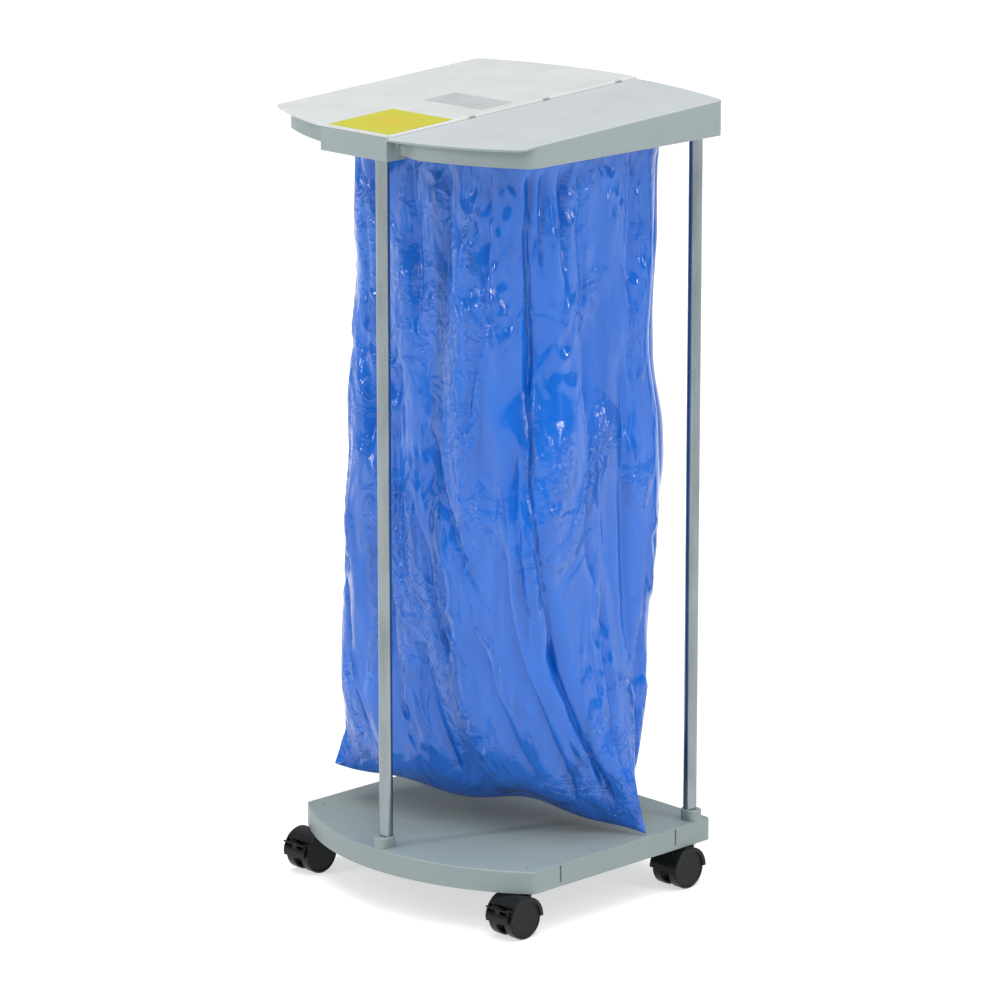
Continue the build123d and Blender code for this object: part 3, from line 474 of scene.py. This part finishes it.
# way round at the top, height there, way round at the bottom, height there, depth, width and lap;
# the way round runs from the middle of the right side (0) over the rear, left and front back to it
CREASES = (
    (0.852, 900, 0.850, 715, 5.0, 13, 1.6),
    (0.846, 735, 0.814, 570, 4.0, 12, -2.2),
    (0.902, 900, 0.899, 500, 6.0, 16, 2.4),
    (0.898, 530, 0.916, 290, 6.5, 15, -1.8),
    (0.915, 330, 0.942, 125, 6.0, 14, 2.0),
    (0.918, 900, 0.919, 760, 5.5, 7, 2.2),
    (0.944, 900, 0.942, 755, 5.5, 8, -2.0),
    (0.756, 565, 0.828, 380, 5.0, 13, 1.8),
    (0.874, 560, 0.886, 320, 4.5, 11, -1.6),
    (0.858, 450, 0.892, 140, 5.5, 13, 1.8),
    (0.818, 325, 0.857, 150, 4.5, 12, 1.5),
    (0.749, 440, 0.770, 290, 4.0, 11, -1.5),
    (0.735, 900, 0.742, 690, 3.5, 12, 1.4),
    (0.790, 900, 0.784, 745, 3.5, 10, -1.2),
    (0.665, 900, 0.672, 540, 5.0, 15, 1.5),
    (0.700, 640, 0.706, 370, 4.0, 13, -1.4),
    (0.678, 420, 0.690, 170, 5.0, 13, 1.5),
    (0.724, 300, 0.735, 130, 4.0, 12, -1.4),
    (0.975, 900, 0.970, 700, 3.5, 12, 1.4),
    (0.972, 690, 0.984, 400, 4.5, 13, -1.7),
    (0.034, 650, 0.036, 310, 4.0, 13, 1.5),
    (0.998, 380, 0.992, 150, 4.5, 12, 1.6),
    (0.052, 900, 0.046, 630, 4.5, 13, -1.5),
    (0.060, 330, 0.050, 120, 4.5, 13, 1.5),
    (0.110, 900, 0.104, 500, 5.0, 14, 1.5),
)
REAR_CREASES = 18                  # more of them, at random, from this way round over this far
REAR_FROM, REAR_SPAN = 0.13, 0.51


def eased(values, heights, z):
    """Values at falling heights, joined smoothly (monotone cubic) at height z."""
    z = np.clip(z, heights[-1], heights[0])
    order = np.argsort(heights)
    h, v = np.array(heights, float)[order], np.array(values, float)[order]
    slope = np.diff(v) / np.diff(h)
    tangent = np.zeros(len(v))
    tangent[0], tangent[-1] = slope[0], slope[-1]
    for i in range(1, len(v) - 1):
        if slope[i - 1] * slope[i] > 0:
            tangent[i] = 2 * slope[i - 1] * slope[i] / (slope[i - 1] + slope[i])
    k = np.clip(np.searchsorted(h, z) - 1, 0, len(h) - 2)
    width = h[k + 1] - h[k]
    t = (z - h[k]) / width
    return ((2 * t**3 - 3 * t**2 + 1) * v[k] + (t**3 - 2 * t**2 + t) * width * tangent[k]
            + (-2 * t**3 + 3 * t**2) * v[k + 1] + (t**3 - t**2) * width * tangent[k + 1])


def round_the_section(share, half_long, half_short, corner):
    """Points and outward normals of a rounded rectangle, at shares of the way round.

    Share 0 is the tip of its +long side."""
    corner = min(corner, half_short, half_long)
    flat_long, flat_short = half_long - corner, half_short - corner
    arc = pi / 2 * corner
    quarter = flat_long + flat_short + arc
    place = (share % 1.0) * 4
    quadrant = np.floor(place).astype(int) % 4
    way = (place - np.floor(place)) * quarter
    odd = quadrant % 2 == 1
    way = np.where(odd, quarter - way, way)
    on_short = way < flat_short
    on_arc = (way >= flat_short) & (way < flat_short + arc)
    angle = np.where(on_arc, (way - flat_short) / max(corner, 1e-9), np.where(on_short, 0.0, pi / 2))
    x = np.where(on_short, half_long, np.where(on_arc, flat_long + corner * np.cos(angle),
                                               flat_long - (way - flat_short - arc)))
    y = np.where(on_short, way, np.where(on_arc, flat_short + corner * np.sin(angle), half_short))
    nx, ny = np.cos(angle), np.sin(angle)
    sx = np.where((quadrant == 0) | (quadrant == 3), 1, -1)
    sy = np.where(quadrant < 2, 1, -1)
    return np.stack([x * sx, y * sy], 1), np.stack([nx * sx, ny * sy], 1)


def wander(share, z, seed, size, drift):
    """Smooth seeded noise that joins up round the bag, one value per point."""
    turn = 2 * pi * share
    return np.array([noise.noise(Vector((cos(a) * size, sin(a) * size, h * drift + seed * SEED_STEP)))
                     for a, h in zip(turn, np.broadcast_to(z, share.shape))])


def smooth(value, low, high):
    """Goes smoothly from 0 to 1 as value goes from low to high."""
    t = np.clip((value - low) / (high - low), 0.0, 1.0)
    return t * t * (3 - 2 * t)


def all_creases():
    """The listed creases and some seeded ones on the rear and left."""
    chance = Random(11)
    more = []
    for i in range(REAR_CREASES):
        way = REAR_FROM + REAR_SPAN * (i + chance.uniform(0.2, 0.8)) / REAR_CREASES
        top = chance.choice((900, 900, 640, 480))
        more.append((way, top, way + chance.uniform(-0.02, 0.02), top - chance.uniform(200, 400),
                     chance.uniform(3.5, 6.0), chance.uniform(10, 15), chance.uniform(-2, 2)))
    return CREASES + tuple(more)


def fold_depth(share, z, creases):
    """Height of the folds above the bag's section, in millimetres."""
    below = TOP - z
    slip = wander(share, z, 1, 1.6, 0.0045) * 0.010 + wander(share, z, 2, 5.0, 0.016) * 0.004
    lane = share + slip * min(1.0, below / 120)
    depth = BILLOW * wander(lane, z, 3, 2.6, 0.0045) * smooth(below, 20, 200)
    for way, high, low_way, low, deep, width, lap in creases:
        strength = smooth(z, low - 25, low + 45) * (1 - smooth(z, high - 25, high + 30))
        if strength <= 0:
            continue
        path = way + (low_way - way) * (high - z) / (high - low)
        off = (lane - path + 0.5) % 1.0 - 0.5
        along = off * GIRTH
        fall = (0.65 * np.exp(-np.sqrt(along**2 + 1.6**2) / width)
                + 0.35 * np.exp(-np.abs(along) / CREASE_EDGE))
        depth += CREASE_GAIN * strength * (lap * np.tanh(along / 2.5) - deep) * fall
    patch = smooth(wander(lane, z, 6, 4.5, 0.009), 0.0, 0.35)
    crinkle = 1 - 2.6 * np.abs(wander(lane, z, 7, 14.0, 0.030))
    return depth + CRINKLE * patch * crinkle + CRINKLE * wander(lane, z, 8, 7.0, 0.010)


def film_points():
    """Rings of the film from the collar down to the flat bottom seam, in metres."""
    heights, centres, halves, *others = zip(*BAG_SECTIONS)
    columns = [*zip(*centres), [long for long, _ in halves], [short ** 2 for _, short in halves],
               *others]
    share = np.arange(ROUND) / ROUND
    creases = all_creases()
    rings = []
    for z in np.concatenate([np.linspace(*row) for row in RING_ROWS]):
        cx, cy, half_long, square, corner, turn, lean, pinch = (
            float(eased(column, heights, z)) for column in columns)
        points, normals = round_the_section(share, half_long, square ** 0.5, corner)
        points[:, 1] *= 1 - pinch * smooth(np.abs(points[:, 0]) / half_long, 0.45, 1.0)
        closing = smooth(z, SEAM, SEAM + 60)
        depth = fold_depth(share, z, creases) * closing
        if z > COLLAR_FOOT:
            depth = np.clip(0.12 * depth + 0.3, 0.0, COLLAR_GATHER)
        else:
            depth *= smooth(COLLAR_FOOT - z, -8, 22)
        points = points + normals * depth[:, None]
        c, s = cos(radians(turn)), sin(radians(turn))
        x = points[:, 0] * c - points[:, 1] * s + cx
        y = points[:, 0] * s + points[:, 1] * c + cy
        way = points[:, 0] / half_long
        lift = (ARCH * np.exp(-((way - ARCH_AT) / ARCH_SPREAD) ** 2)
                + SEAM_RIPPLE * np.sin(way * RIPPLE_RATE))
        drop = -points[:, 0] * sin(radians(lean)) + lift * (1 - smooth(z, SEAM, SEAM + 90))
        rings.append(np.stack([x, y, z + drop], 1) / MM)
    return rings


def make_bag():
    """The film as one mesh, closed by welding its lowest ring into a flat seam."""
    rings = film_points()
    faces = []
    for row in range(len(rings) - 1):
        for i in range(ROUND):
            j = (i + 1) % ROUND
            upper, lower = row * ROUND, (row + 1) * ROUND
            faces.append((upper + i, lower + i, lower + j, upper + j))
    mesh = bpy.data.meshes.new("film_bag")
    mesh.from_pydata([tuple(v) for v in np.concatenate(rings)], [], faces)
    film = bpy.data.objects.new("film_bag", mesh)
    bpy.context.scene.collection.objects.link(film)
    build = bmesh.new()
    build.from_mesh(mesh)
    seam = [v for v in build.verts if v.index >= (len(rings) - 1) * ROUND]
    bmesh.ops.remove_doubles(build, verts=seam, dist=WELD)
    bmesh.ops.recalc_face_normals(build, faces=build.faces)
    build.to_mesh(mesh)
    build.free()
    for face in mesh.polygons:
        face.use_smooth = True
    mesh.materials.append(bag_film("blue_film"))
    thick = film.modifiers.new("film", "SOLIDIFY")
    thick.thickness = FILM_THICKNESS
    thick.offset = 0.0
    return film


make_camera()
for light_box in LIGHT_BOXES:
    make_light(*light_box)
make_sun()
make_world()
make_floor()
paint_nodes()

bag = make_bag()
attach(bag, "stand")
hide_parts("refuse_bag")

bpy.context.scene.view_settings.view_transform = "Standard"
